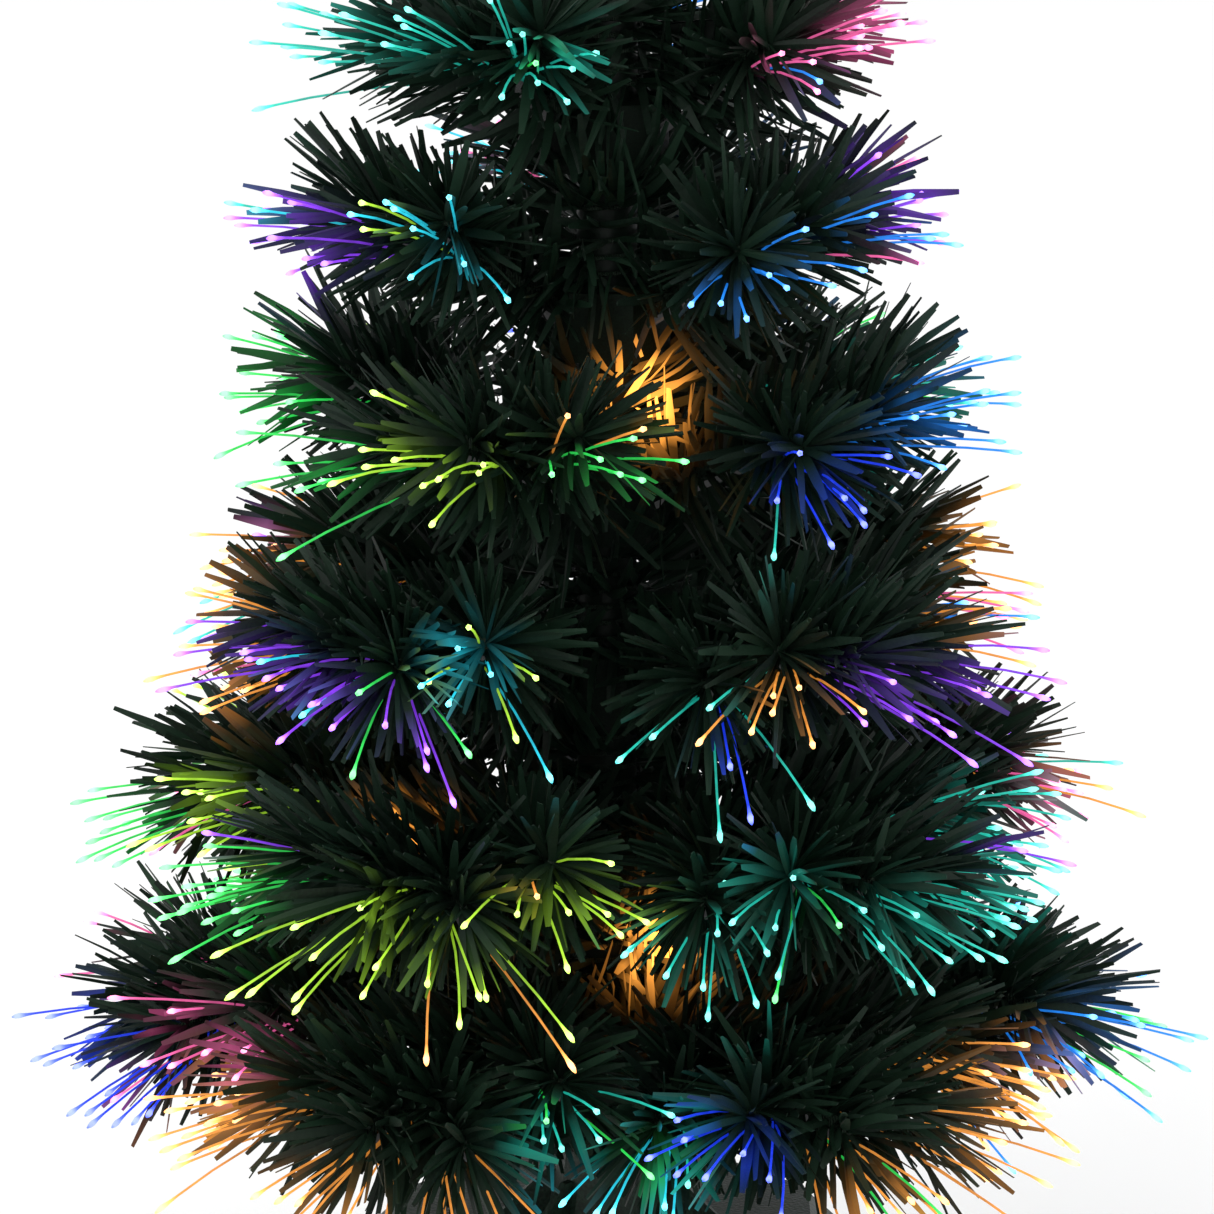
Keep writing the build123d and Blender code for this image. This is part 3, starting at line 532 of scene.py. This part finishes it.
film = needle_film()
wire = stem_wire()
light_line = fibre_light()
rub_reach = 0.012
foot_rub = (base_foot_z, base_foot_z + rub_reach, rgb(0.050, 0.074, 0.060))
mouth_rub = (base_collar_top, base_collar_top - rub_reach, rgb(0.045, 0.068, 0.054))
pole_rub = (base_collar_top, base_collar_top + rub_reach, rgb(0.034, 0.040, 0.036))
base_plastic = moulded("base_moulding", rgb(0.006, 0.022, 0.012), rgb(0.016, 0.042, 0.026),
                       grain_size=900.0, roughness=0.5, depth=0.0006, bands=(foot_rub, mouth_rub))
collar_plastic = moulded("collar_plastic", rgb(0.003, 0.010, 0.005), rgb(0.007, 0.019, 0.011),
                         grain_size=1400.0, roughness=0.55, depth=0.0003, gloss=0.12)
node_finishes = {
    "base_housing": base_plastic,
    "bottom_plate": base_plastic,
    "tier_collars": collar_plastic,
    "trunk_tube": moulded("pole_paint", rgb(0.003, 0.009, 0.005), rgb(0.007, 0.018, 0.010),
                          grain_size=900.0, roughness=0.45, depth=0.0002, gloss=0.2, bands=(pole_rub,)),
    "rubber_feet": moulded("foot_rubber", rgb(0.012, 0.012, 0.012), rgb(0.03, 0.03, 0.03),
                           grain_size=1200.0, roughness=0.8, depth=0.0004),
    "dc_inlet": moulded("inlet_plastic", rgb(0.005, 0.005, 0.005), rgb(0.012, 0.012, 0.012),
                        grain_size=1800.0, roughness=0.4, depth=0.0003),
    "switch_frame": moulded("switch_plastic", rgb(0.005, 0.005, 0.005), rgb(0.012, 0.012, 0.012),
                            grain_size=1800.0, roughness=0.35, depth=0.0003),
    "switch_rocker": moulded("rocker_plastic", rgb(0.008, 0.008, 0.008), rgb(0.02, 0.02, 0.02),
                             grain_size=500.0, roughness=0.2, depth=0.0001),
    "wheel_frame": moulded("wheel_plastic", rgb(0.55, 0.55, 0.53), rgb(0.42, 0.41, 0.38),
                           grain_size=1800.0, roughness=0.5, depth=0.0002, painted_pit_shade=0.15),
    "main_bundle": moulded("bundle_plastic", rgb(0.60, 0.66, 0.70), rgb(0.80, 0.85, 0.90),
                           grain_size=1300.0, roughness=0.2, depth=0.0004, painted_pit_shade=0.2),
    "lamp_bracket": metal("bracket_steel", rgb(0.56, 0.57, 0.58), rgb(0.40, 0.41, 0.42),
                          roughness=0.35, depth=0.0001),
    "motor_can": metal("motor_steel", rgb(0.50, 0.50, 0.50), rgb(0.36, 0.36, 0.37),
                       roughness=0.3, depth=0.0001),
    "motor_shaft": metal("shaft_steel", rgb(0.62, 0.62, 0.62), rgb(0.50, 0.50, 0.50),
                         roughness=0.22, depth=0.00005),
    "fibre_ferrule": metal("ferrule_metal", rgb(0.75, 0.75, 0.76), rgb(0.60, 0.60, 0.61),
                           roughness=0.3, depth=0.0001),
    "lamp_socket": socket_ceramic(),
    "halogen_lamp": lamp_glass(),
    "gel_green": filter_film("gel_green", 0.03, 0.50, 0.08),
    "gel_teal": filter_film("gel_teal", 0.02, 0.50, 0.55),
    "gel_blue": filter_film("gel_blue", 0.02, 0.09, 0.65),
    "gel_violet": filter_film("gel_violet", 0.30, 0.05, 0.60),
    "gel_pink": filter_film("gel_pink", 0.75, 0.08, 0.35),
    "gel_amber": filter_film("gel_amber", 0.90, 0.36, 0.03),
}
for node_name, node_finish in node_finishes.items():
    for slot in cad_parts[node_name].material_slots:
        slot.material = node_finish

# Swept forms


def unit(vectors):
    """Vectors of length one."""
    return vectors / np.linalg.norm(vectors, axis=-1, keepdims=True)


def ring_faces(count, rings, sides):
    """The faces of some closed forms, each made of rings of corners with flat ends."""
    corner = np.arange(sides)
    after = (corner + 1) % sides
    ring = np.arange(rings - 1)[:, None] * sides
    quads = np.stack((ring + corner, ring + after, ring + sides + after, ring + sides + corner), 2)
    ends = np.stack((corner[::-1], (rings - 1) * sides + corner))
    first = np.arange(count)[:, None, None] * rings * sides
    faces = (first + quads.reshape(1, -1, 4)).reshape(-1, 4).tolist()
    return faces + (first + ends[None]).reshape(-1, sides).tolist()


def swept(paths, sections, across):
    """Points and faces of closed forms along some paths, with a section at each of their points."""
    ahead = unit(np.gradient(paths, axis=1))
    across = unit(across[:, None] - ahead * (ahead * across[:, None]).sum(2, keepdims=True))
    over = np.cross(ahead, across)
    points = (paths[:, :, None] + across[:, :, None] * sections[..., :1]
              + over[:, :, None] * sections[..., 1:])
    return points.reshape(-1, 3), ring_faces(len(paths), paths.shape[1], sections.shape[2])


def round_sections(radii, sides):
    """Round sections of the given radii."""
    turns = 2 * math.pi * np.arange(sides) / sides
    circle = np.stack((np.cos(turns), np.sin(turns)), 1)
    return np.asarray(radii)[..., None, None] * circle


def rod(path, radius, sides, across):
    """A round rod along one path."""
    return swept(path[None], round_sections(np.full((1, len(path)), radius), sides), across[None])


def joined(forms):
    """Several sets of points and faces as one, with how many faces each has."""
    points, faces, counts = [], [], []
    shift = 0
    for some_points, some_faces in forms:
        points.append(some_points)
        faces += [[index + shift for index in face] for face in some_faces]
        counts.append(len(some_faces))
        shift += len(some_points)
    return np.concatenate(points), faces, counts


def make_piece(name, points, faces, finishes, face_finish=None):
    """A mesh object with its materials."""
    mesh = bpy.data.meshes.new(name)
    mesh.from_pydata(points.tolist(), [], faces)
    for finish in finishes:
        mesh.materials.append(finish)
    if face_finish is not None:
        mesh.polygons.foreach_set("material_index", face_finish)
    mesh.update()
    piece = bpy.data.objects.new(name, mesh)
    bpy.context.scene.collection.objects.link(piece)
    return piece


def point_values(piece, name, values):
    """A number or a colour for each point of a piece."""
    if values.ndim == 1:
        data = piece.data.attributes.new(name, "FLOAT", "POINT").data
        data.foreach_set("value", values.astype(np.float32))
    else:
        data = piece.data.attributes.new(name, "FLOAT_COLOR", "POINT").data
        full = np.concatenate((values, np.ones((len(values), 1))), 1)
        data.foreach_set("color", full.astype(np.float32).ravel())


def eased(points, steps):
    """Points along a smooth curve through the given ones."""
    given = [np.array(point) for point in (points[0], *points, points[-1])]
    curve = []
    for before, start, end, after in zip(given, given[1:], given[2:], given[3:]):
        for t in np.arange(steps) / steps:
            curve.append(start + (end - before) * t / 2
                         + (before - 2.5 * start + 2 * end - after / 2) * t ** 2
                         + (1.5 * start - before / 2 - 1.5 * end + after / 2) * t ** 3)
    return np.array(curve + [given[-1]])


# Branch lines, by the part's own rules


def leaning(azimuth, pitch):
    """The directions ahead, to the side and up of a stem that leans outward."""
    turn, rise = math.radians(azimuth), math.radians(pitch)
    flat = Vector((math.cos(turn), math.sin(turn), 0.0))
    ahead = flat * math.cos(rise) + Vector((0.0, 0.0, math.sin(rise)))
    side = Vector((-math.sin(turn), math.cos(turn), 0.0))
    return ahead, side, ahead.cross(side)


def between(lowest, highest, tier):
    """A size that changes evenly from the lowest tier to the highest."""
    return lowest + (highest - lowest) * tier / last_tier


def tier_height(tier):
    """The height at which the branches of a tier leave the pole."""
    return first_tier_z + tier_rise * tier


def branch_count(tier):
    """How many branches a tier of the frame has."""
    return sum(name.startswith(f"branch_tier_{tier + 1}_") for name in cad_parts)


def twig(fork, way, here, ahead, side, up, reach):
    """The line of one twig with its radius, and its tip with its directions."""
    turn, skew = math.radians(twig_yaw), math.radians(twig_skew)
    lift = -way if fork % 2 else way
    out = ahead * math.cos(turn) + side * (way * math.sin(turn))
    out = out * math.cos(skew) + up * (lift * math.sin(skew))
    across = up.cross(out).normalized()
    over = out.cross(across)
    tip = here + out * reach
    middle = (here + tip) / 2 + over * (twig_arch_share * reach)
    return (eased([here, middle, tip], twig_steps), twig_radius, up), (tip, out, across, over)


def branch_lines(tier, number):
    """The smooth stem lines of a branch with their radii, and its tips with their directions."""
    azimuth = 360.0 / branch_count(tier) * number + tier_turn * tier
    pitch = between(lowest_pitch, highest_pitch, tier)
    length = between(longest_branch, shortest_branch, tier)
    ahead, side, up = leaning(azimuth, pitch)
    flat = side.cross(Vector((0.0, 0.0, 1.0)))
    seat = pole_radius + socket_web + stem_radius * math.sin(math.radians(pitch))
    here = flat * seat + Vector((0.0, 0.0, tier_height(tier)))
    points, twigs, tips, passed = [here], [], [], 0.0
    for fork, share in enumerate(fork_shares[tier]):
        here = here + ahead * (length * (share - passed))
        points.append(here)
        passed = share
        reach = length * (1 - share) * twig_share + twig_least
        for way in (-1, 1):
            line, tip = twig(fork, way, here, ahead, side, up, reach)
            twigs.append(line)
            tips.append(tip)
        pitch -= fork_droop
        ahead, side, up = leaning(azimuth, pitch)
    here = here + ahead * (length * (1 - passed))
    points.append(here)
    tips.append((here, ahead, side, up))
    return [(eased(points, stem_steps), stem_radius, up)] + twigs, tips


# Sprays of fibres


def light_at(point):
    """The light of the listed spray that is nearest in the photograph's view."""
    seen_z = point.z + point.y * math.tan(math.radians(view_elevation))
    light, right, height = min(all_sprays, key=lambda shown: math.hypot(
        point.x - shown[1], seen_z - shown[2]))
    return lights[light]


def spray(tip, ahead, side, up):
    """The paths and colours of the fibres at one tip."""
    main_light = light_at(tip)
    near_light = light_at(tip + Vector(rng.normal(0, near_light_spread, 3)))
    count = int(rng.integers(fibres_least, fibres_most))
    tip, ahead, side, up = (np.array(vector) for vector in (tip, ahead, side, up))
    shares = fibre_ring_shares[:, None]
    paths, colours = [], []
    for fibre in range(count):
        fan = fibre_fan * (2 * (fibre + 0.5) / count - 1 + rng.normal(0, fan_spread_share))
        lift = rng.normal(fibre_lift, lift_spread)
        root = tip - ahead * fibre_back - up * cord_drop + side * rng.normal(0, fibre_root_spread)
        out = unit(ahead + side * math.tan(math.radians(fan)) + up * math.tan(math.radians(lift)))
        reach = fibre_back + fibre_beyond * rng.uniform(*fibre_beyond_shares)
        droop = reach * fibre_droop_share * rng.uniform(*droop_spread_shares)
        curve = side * (reach * rng.normal(0, curve_spread_share)) - np.array((0.0, 0.0, droop))
        paths.append(root + out * (reach * shares) + curve * shares ** 2)
        colours.append(main_light if rng.random() < own_light_share else near_light)
    return paths, colours


def fibre_piece(node, paths, colours, stems=()):
    """The cords under the stems and the lit fibres, as one piece."""
    paths, colours = np.array(paths), np.array(colours)
    across = unit(np.cross(paths[:, -1] - paths[:, 0], (0.0, 0.0, 1.0)) + least_side)
    radii = fibre_radius * fibre_ring_widths[None]
    forms = [swept(paths, round_sections(radii, fibre_sides), across)]
    for path, radius, up in stems:
        line = path - np.array(up) * cord_drop
        cord = cord_radius if radius == stem_radius else twig_cord_share * cord_radius
        forms.append(rod(line, cord, cord_sides, unit(np.cross(np.array(up), line[-1] - line[0]))))
    points, faces, _ = joined(forms)
    piece = make_piece("lit_" + node, points, faces, [light_line])
    glow = colours[:, None, :] * fibre_ring_lights[None, :, None] + fibre_ring_whites[None, :, None]
    light = np.full((len(points), 3), cord_light)
    light[:len(forms[0][0])] = np.repeat(glow.reshape(-1, 3), fibre_sides, axis=0)
    point_values(piece, "light", light)
    for polygon in piece.data.polygons:
        polygon.use_smooth = True
    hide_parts(node)
    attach(piece, "tree")


# Needles


def needle_forms(paths, flats):
    """Folded strips that narrow to both ends, along some paths."""
    widths = needle_ring_widths[None, :, None]
    half = needle_width / 2 * rng.uniform(*needle_width_shares, (len(paths), 1, 1)) * widths
    none = np.zeros_like(half)
    left = np.concatenate((-half, none), 2)
    right = np.concatenate((half, none), 2)
    ridge = np.concatenate((none, none + needle_fold * widths), 2)
    return swept(paths, np.stack((left, right, ridge), 2), flats)


def flat_sides(headings):
    """The way that each needle turns its flat side."""
    return unit(np.cross(headings, rng.normal(0, 1, (len(headings), 3))))


def at_places(places, along, values):
    """Points or directions of a line, at some places along it."""
    return np.stack([np.interp(places, along, values[:, axis]) for axis in range(3)], 1)


def stem_needles(path, from_pole):
    """Paths and flat sides of the needles round one stem, longer and squarer near the pole."""
    steps = np.linalg.norm(np.diff(path, axis=0), axis=1)
    along = np.concatenate(((0.0,), np.cumsum(steps)))
    covered = along[-1] - stem_bare
    count = round(covered * needles_per_metre)
    place = stem_bare + covered * (np.arange(count) + rng.random(count)) / count
    root = at_places(place, along, path)
    ahead = at_places(place, along, unit(np.gradient(path, axis=0)))
    upright = abs(ahead[0, 2]) > upright_least
    side = unit(np.cross(ahead, (1.0, 0.0, 0.0) if upright else (0.0, 0.0, 1.0)))
    over = np.cross(side, ahead)
    turn = np.radians(golden_turn * np.arange(count) + rng.normal(0, turn_spread, count))[:, None]
    out = side * np.cos(turn) + over * np.sin(turn)
    at_root = np.clip(1 - place / root_reach, 0, 1) * from_pole
    at_end = np.clip(1 - (along[-1] - place) / end_reach, 0, 1)
    lean = needle_lean + (root_lean - needle_lean) * at_root + (end_lean - needle_lean) * at_end
    lean = np.radians(lean + rng.normal(0, lean_spread, count))[:, None]
    heading = unit(ahead * np.cos(lean) + out * np.sin(lean))
    if from_pole:
        radial = unit(root * (1.0, 1.0, 0.0))
        inward = least_outward - (heading * radial).sum(1, keepdims=True)
        heading = unit(heading + radial * np.maximum(inward, 0.0))
    length = needle_length * rng.uniform(*needle_length_shares, count) * (1 + root_growth * at_root)
    length = length[:, None]
    curl = (ahead * rng.normal(curl_ahead_share, curl_spread_share, (count, 1))
            + out * rng.normal(0, curl_out_share, (count, 1))
            - np.array((0.0, 0.0, needle_sag_share))) * length
    shares = needle_ring_shares[None, :, None]
    paths = root[:, None] + (heading * length)[:, None] * shares + curl[:, None] * shares ** 2
    return paths, flat_sides(heading)


def cast_light(points, ends, colours):
    """The painted light that the nearest listed ends, fibre ends and warm glow points, throw on some
    points.
    """
    cast = np.zeros((len(points), 3))
    farthest = glow_end_share * glow_reach
    near = np.all((ends > points.min(0) - farthest) & (ends < points.max(0) + farthest), axis=1)
    for end, colour in zip(ends[near], colours[near]):
        apart = np.linalg.norm(points - end, axis=1)
        cast += np.exp(-(apart / glow_reach) ** 2)[:, None] * colour
    return glow_strength * cast


def foliage_piece(node, paths, flats, wires, ends, colours, trim=()):
    """Needles, wires and moulded trim as one piece that replaces a node."""
    needles = needle_forms(paths, flats)
    points, faces, counts = joined([needles, *wires, *trim])
    finish = np.repeat([0] + [1] * len(wires) + [2] * len(trim), counts)
    piece = make_piece("film_" + node, points, faces, [film, wire, collar_plastic], finish)
    corners = len(needle_ring_shares) * needle_corners
    shade = np.full(len(points), plain_shade)
    shade[:len(needles[0])] = np.repeat(rng.random(len(paths)), corners)
    point_values(piece, "shade", shade)
    # Painted light from the fibre ends and warm glow points, as a colour for each point
    point_values(piece, "cast_light", cast_light(points, ends, colours))
    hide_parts(node)
    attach(piece, "tree")


def stems_piece(node, stems, on_pole, ends, colours, trim=()):
    """The stems of a branch or of the top, with their needles."""
    strips = [stem_needles(path, on_pole and radius == stem_radius) for path, radius, up in stems]
    wires = [rod(path, radius, stem_sides, unit(np.cross(np.array(up), path[-1] - path[0])))
             for path, radius, up in stems]
    foliage_piece(node, np.concatenate([paths for paths, flats in strips]),
                  np.concatenate([flats for paths, flats in strips]), wires, ends, colours, trim)


# Garland on the pole


def pole_gaps():
    """The bare stretches of the pole: over the base, between the collars and under the top."""
    heights = [tier_height(tier) for tier in range(last_tier + 1)]
    lows = [base_collar_top] + [height + collar_above for height in heights]
    highs = [height - collar_below for height in heights] + [pole_top_z]
    return [(low + garland_end_gap, high - garland_end_gap) for low, high in zip(lows, highs)]


def garland_wire(low, high):
    """The line of the thin wire wound round one stretch."""
    turns = (high - low) / garland_pitch
    steps = np.linspace(0.0, 1.0, round(turns * garland_steps_a_turn))
    turn = 2 * math.pi * turns * steps
    return np.stack((garland_radius * np.cos(turn), garland_radius * np.sin(turn),
                     low + (high - low) * steps), 1)


def garland_needles(line, lowest):
    """Paths and flat sides of the needles of one stretch, which lean out over its ends."""
    count = round((line[-1, 2] - line[0, 2]) * garland_needles_per_metre)
    share = np.sort(rng.random(count))
    root = at_places(share, np.linspace(0.0, 1.0, len(line)), line)
    out = unit(root * (1.0, 1.0, 0.0))
    upward = np.array((0.0, 0.0, 1.0))
    swing = np.radians(rng.normal(0, garland_swing, (count, 1)))
    rise = garland_rise + garland_end_rise * (2 * share[:, None] - 1)
    rise = rise + rng.normal(0, garland_swing / 2, (count, 1))
    rise = np.radians(np.maximum(rise, garland_rise) if lowest else rise)
    heading = unit(out * np.cos(swing) * np.cos(rise) + np.cross(upward, out) * np.sin(swing)
                   + upward * np.sin(rise))
    length = garland_length * rng.uniform(*garland_length_shares, (count, 1))
    bend = rng.normal(0, garland_bend_share, (count, 3)) * length
    curl = garland_curl_share * length[:, 0] * (2 * share - 1)
    bend[:, 2] += np.maximum(curl, 0.0) if lowest else curl
    shares = needle_ring_shares[None, :, None]
    paths = root[:, None] + (heading * length)[:, None] * shares + bend[:, None] * shares ** 2
    return paths, flat_sides(heading)


def garland_piece(ends, colours):
    """The garland of every bare stretch, as one piece."""
    lines = [garland_wire(low, high) for low, high in pole_gaps()]
    strips = [garland_needles(line, gap == 0) for gap, line in enumerate(lines)]
    wires = [rod(line, garland_wire_radius, garland_wire_sides, np.array((0.0, 0.0, 1.0)))
             for line in lines]
    foliage_piece("pole_garland", np.concatenate([paths for paths, flats in strips]),
                  np.concatenate([flats for paths, flats in strips]), wires, ends, colours)


# Top of the tree


def top_stem():
    """The line of the upright tip with its radius, and its end with its directions."""
    root = Vector((0.0, 0.0, pole_top_z + flange_height))
    tip = root + Vector((0.0, 0.0, top_stem_length))
    ahead, side, up = Vector((0.0, 0.0, 1.0)), Vector((1.0, 0.0, 0.0)), Vector((0.0, -1.0, 0.0))
    return (eased([root, (root + tip) / 2, tip], twig_steps), stem_radius, up), (tip, ahead, side, up)


def top_plug():
    """The plug in the pole's end, with its domed flange."""
    rings = ((plug_radius, -plug_depth), (plug_radius, 0.0), (pole_radius, 0.0),
             (pole_radius, flange_rim_share * flange_height),
             (flange_slope_share * pole_radius, flange_height),
             (stem_radius, flange_dome_share * flange_height))
    circles = round_sections(np.array([radius for radius, height in rings]), flange_sides)
    heights = np.array([pole_top_z + height for radius, height in rings])
    heights = np.broadcast_to(heights[:, None, None], (len(rings), flange_sides, 1))
    points = np.concatenate((circles, heights), 2).reshape(-1, 3)
    return points, ring_faces(1, len(rings), flange_sides)


# The whole tree


def tier_spray(tier):
    """The stems of a tier's branches by node name, and the fibres at all their tips."""
    branches, paths, colours = {}, [], []
    for number in range(branch_count(tier)):
        stems, tips = branch_lines(tier, number)
        branches[f"branch_tier_{tier + 1}_{number + 1}"] = stems
        for tip in tips:
            some_paths, some_colours = spray(*tip)
            paths += some_paths
            colours += some_colours
    return branches, paths, colours


def tree():
    """All fibres first, because the needles take painted light from their ends and from the warm glow
    points.
    """
    branches, ends, colours = {}, [], []
    for tier in range(last_tier + 1):
        tier_branches, paths, tier_colours = tier_spray(tier)
        branches.update(tier_branches)
        fibre_piece(f"fibres_tier_{tier + 1}", paths, tier_colours,
                    [line for stems in tier_branches.values() for line in stems])
        ends += [path[-1] for path in paths]
        colours += tier_colours
    top_line, top_tip = top_stem()
    paths, top_colours = spray(*top_tip)
    fibre_piece("fibres_top", paths, top_colours)
    ends += [path[-1] for path in paths]
    colours += top_colours
    # Painted warm glow: points that are no fibre ends, added to the ends that light the needles
    for place in painted_warm_glow_places:
        ends += list(np.array(place) + rng.normal(0, painted_warm_glow_spread, (painted_warm_glow_count, 3)))
        colours += [lights["amber"]] * painted_warm_glow_count
    ends, colours = np.array(ends), np.array(colours)
    for node, stems in branches.items():
        stems_piece(node, stems, True, ends, colours)
    stems_piece("top_tip", [top_line], False, ends, colours, [top_plug()])
    garland_piece(ends, colours)


tree()

# Floor, white backdrop and lamps
floor_half_width = 4.0
soft_strength = 1.05
# Name, place, width and power of each lamp
lamps = (("key", Vector((-1.1, -1.5, 1.8)), 1.4, 14.0), ("fill", Vector((1.5, -1.2, 1.0)), 1.6, 5.0))


def pale_floor():
    """A plain pale floor of paper."""
    corners = np.array([(-1.0, -1.0, 0.0), (1.0, -1.0, 0.0), (1.0, 1.0, 0.0), (-1.0, 1.0, 0.0)])
    finish, tree, shader = new_finish("floor_paper")
    tint = blended(tree, noise(tree, 3.0, 2.0), rgb(0.93, 0.93, 0.93), rgb(0.96, 0.96, 0.96))
    tree.links.new(tint, shader.inputs["Base Color"])
    shader.inputs["Roughness"].default_value = 0.9
    shader.inputs["Specular IOR Level"].default_value = 0.1
    make_piece("floor", corners * floor_half_width, [[0, 1, 2, 3]], [finish])


def white_world():
    """Soft light from all round, and plain white where the camera, metal or glass sees it."""
    world = bpy.data.worlds.new("studio")
    bpy.context.scene.world = world
    world.use_nodes = True
    tree = world.node_tree
    tree.nodes.clear()
    rays = tree.nodes.new("ShaderNodeLightPath").outputs
    seen = larger(tree, rays["Is Camera Ray"], rays["Is Glossy Ray"])
    seen = larger(tree, seen, rays["Is Transmission Ray"])
    soft = add(tree, "ShaderNodeBackground", Color=rgb(1.0, 1.0, 1.0), Strength=soft_strength)
    white = add(tree, "ShaderNodeBackground", Color=rgb(1.0, 1.0, 1.0), Strength=1.0)
    mix = tree.nodes.new("ShaderNodeMixShader")
    for socket, value in zip(mix.inputs, (seen, soft.outputs[0], white.outputs[0])):
        tree.links.new(value, socket)
    output = tree.nodes.new("ShaderNodeOutputWorld")
    tree.links.new(mix.outputs[0], output.inputs["Surface"])


def studio_lamp(name, place, width, power):
    """A soft square lamp that points at the middle of the tree."""
    data = bpy.data.lights.new(name, "AREA")
    data.size = width
    data.energy = power
    lamp = bpy.data.objects.new(name, data)
    lamp.location = place
    lamp.rotation_mode = "QUATERNION"
    lamp.rotation_quaternion = turned_to(view_centre, place)
    bpy.context.scene.collection.objects.link(lamp)


pale_floor()
white_world()
for lamp_values in lamps:
    studio_lamp(*lamp_values)
bpy.context.scene.view_settings.view_transform = "Standard"
